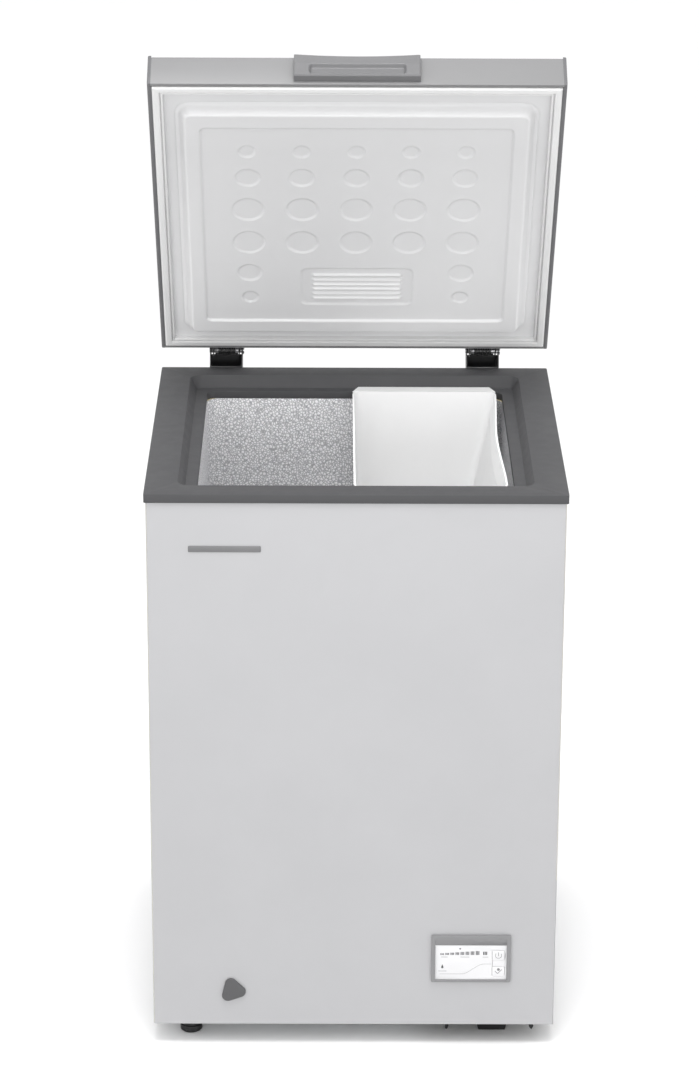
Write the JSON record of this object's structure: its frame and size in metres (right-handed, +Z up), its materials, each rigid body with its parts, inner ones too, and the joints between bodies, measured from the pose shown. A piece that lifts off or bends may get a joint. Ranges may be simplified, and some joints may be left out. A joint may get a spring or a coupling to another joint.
{
  "type": "chest freezer",
  "caption": "Small upright-bodied chest freezer with a hinged insulated lid, plastic rim collar, embossed metal tub and a hanging basket.",
  "frame": {"origin": "on the floor, under the middle of the freezer's outline as stored with its lid up", "axes": "+Z up, +X to the right as seen from the front, +Y towards the back, so the control panel faces -Y"},
  "size_m": [0.546, 0.5782, 1.3012],
  "materials": {
    "silver_paint": "satin",
    "galvanised_steel": "satin",
    "grey_plastic": "matte",
    "handle_grey": "satin",
    "bezel_grey": "satin",
    "cap_grey": "matte",
    "embossed_aluminium": "satin",
    "insulation_foam": "matte",
    "copper": "satin",
    "condenser_steel": "satin",
    "white_plastic": "satin",
    "facia_white": "satin",
    "soft_white": "matte",
    "black_rubber": "matte",
    "foot_plastic": "matte",
    "black_plastic": "matte",
    "black_steel": "satin",
    "bright_steel": "satin",
    "circuit_board": "satin"
  },
  "bodies": {
    "cabinet": {"cabinet_wrapper": "silver_paint", "back_panel": "galvanised_steel", "bottom_pan": "galvanised_steel", "collar": "grey_plastic", "inner_liner": "embossed_aluminium", "foam_insulation": "insulation_foam", "evaporator_tube": "copper", "condenser_tube": "condenser_steel", "drain_tube": "white_plastic", "foot_inserts": "bright_steel", "front_right_foot": "foot_plastic", "rear_right_foot": "foot_plastic", "compressor_tray": "black_steel", "compressor": "black_steel", "compressor_grommets": "black_rubber", "compressor_bolts": "bright_steel", "relay_cover": "black_plastic", "suction_pipe": "copper", "discharge_pipe": "copper", "filter_drier": "copper", "liquid_pipe": "copper", "capillary_tube": "copper", "rear_grille": "black_plastic", "grille_screws": "bright_steel", "cable_gland": "black_plastic", "control_bezel": "bezel_grey", "control_plate": "facia_white", "control_box": "white_plastic", "control_board": "circuit_board", "front_badge": "bezel_grey", "left_hinge_bracket": "black_steel", "right_hinge_bracket": "black_steel", "left_hinge_pin": "bright_steel", "right_hinge_pin": "bright_steel", "left_hinge_spring": "bright_steel", "right_hinge_spring": "bright_steel", "bracket_screws": "bright_steel"},
    "lid": {"lid_panel": "silver_paint", "left_lid_trim": "grey_plastic", "right_lid_trim": "grey_plastic", "lid_foam": "insulation_foam", "lid_liner": "white_plastic", "lid_gasket": "soft_white", "lid_handle": "handle_grey", "left_hinge_leaf": "black_steel", "right_hinge_leaf": "black_steel", "leaf_screws": "bright_steel"},
    "basket": {"basket": "white_plastic"},
    "drain_plug": {"drain_plug": "black_rubber"},
    "drain_cap": {"drain_cap": "cap_grey"},
    "lower_key": {"lower_key": "facia_white"},
    "upper_key": {"upper_key": "facia_white"},
    "front_left_foot": {"front_left_foot": "foot_plastic"},
    "rear_left_foot": {"rear_left_foot": "foot_plastic"}
  },
  "joints": [
    {"name": "lid_hinge", "type": "hinge", "parent": "cabinet", "child": "lid", "pos_m": [0, 0.2716, 0.81], "axis": [-1, 0, 0], "range_deg": [-57.13, 32.87]},
    {"name": "basket_slide", "type": "slide", "parent": "cabinet", "child": "basket", "axis": [1, 0, 0], "range_m": [-0.2, 0.006]},
    {"name": "drain_plug_pull", "type": "slide", "parent": "cabinet", "child": "drain_plug", "axis": [0, 0, 1], "range_m": [0, 0.03]},
    {"name": "drain_cap_pull", "type": "slide", "parent": "cabinet", "child": "drain_cap", "axis": [0, -1, 0], "range_m": [0, 0.03]},
    {"name": "lower_key_press", "type": "slide", "parent": "cabinet", "child": "lower_key", "axis": [0, 1, 0], "range_m": [0, 0.001], "stiffness_N_per_m": 800, "springref_m": -0.001},
    {"name": "upper_key_press", "type": "slide", "parent": "cabinet", "child": "upper_key", "axis": [0, 1, 0], "range_m": [0, 0.001], "stiffness_N_per_m": 800, "springref_m": -0.001},
    {"name": "front_left_foot_turn", "type": "hinge", "parent": "cabinet", "child": "front_left_foot", "pos_m": [-0.2214, -0.242, 0.02], "axis": [0, 0, 1], "continuous": true},
    {"name": "rear_left_foot_turn", "type": "hinge", "parent": "cabinet", "child": "rear_left_foot", "pos_m": [-0.2214, 0.201, 0.02], "axis": [0, 0, 1], "continuous": true}
  ]
}
